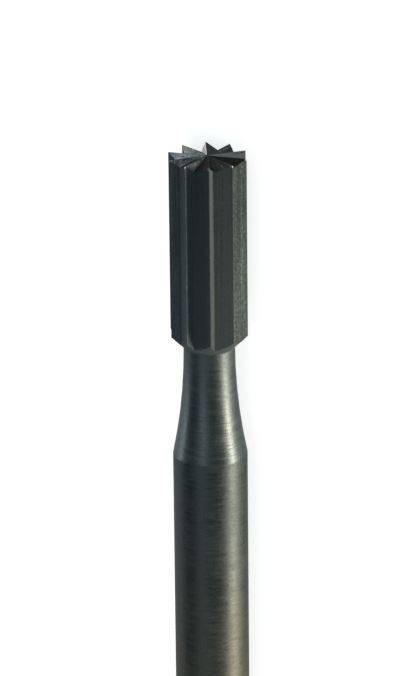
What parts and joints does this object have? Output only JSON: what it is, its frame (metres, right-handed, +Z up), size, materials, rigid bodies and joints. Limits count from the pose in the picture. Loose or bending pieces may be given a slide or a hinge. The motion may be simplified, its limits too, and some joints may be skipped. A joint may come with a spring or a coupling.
{
  "type": "carbide burr",
  "caption": "Square-end cylinder burr in one piece, with straight teeth along its side and across its end, a slim turned neck and a round handpiece shank.",
  "frame": {"origin": "on the bench that the burr lies on, under the middle of its bounding box", "axes": "+Y along the burr's axis towards its cutting end, +Z up from the bench, +X to the right looking from the shank to the cutting end"},
  "size_m": [0.0024, 0.0446, 0.0024],
  "materials": {
    "steel": "ground and turned, dark gunmetal grey"
  },
  "bodies": {
    "root": {"burr": "steel"}
  },
  "joints": []
}
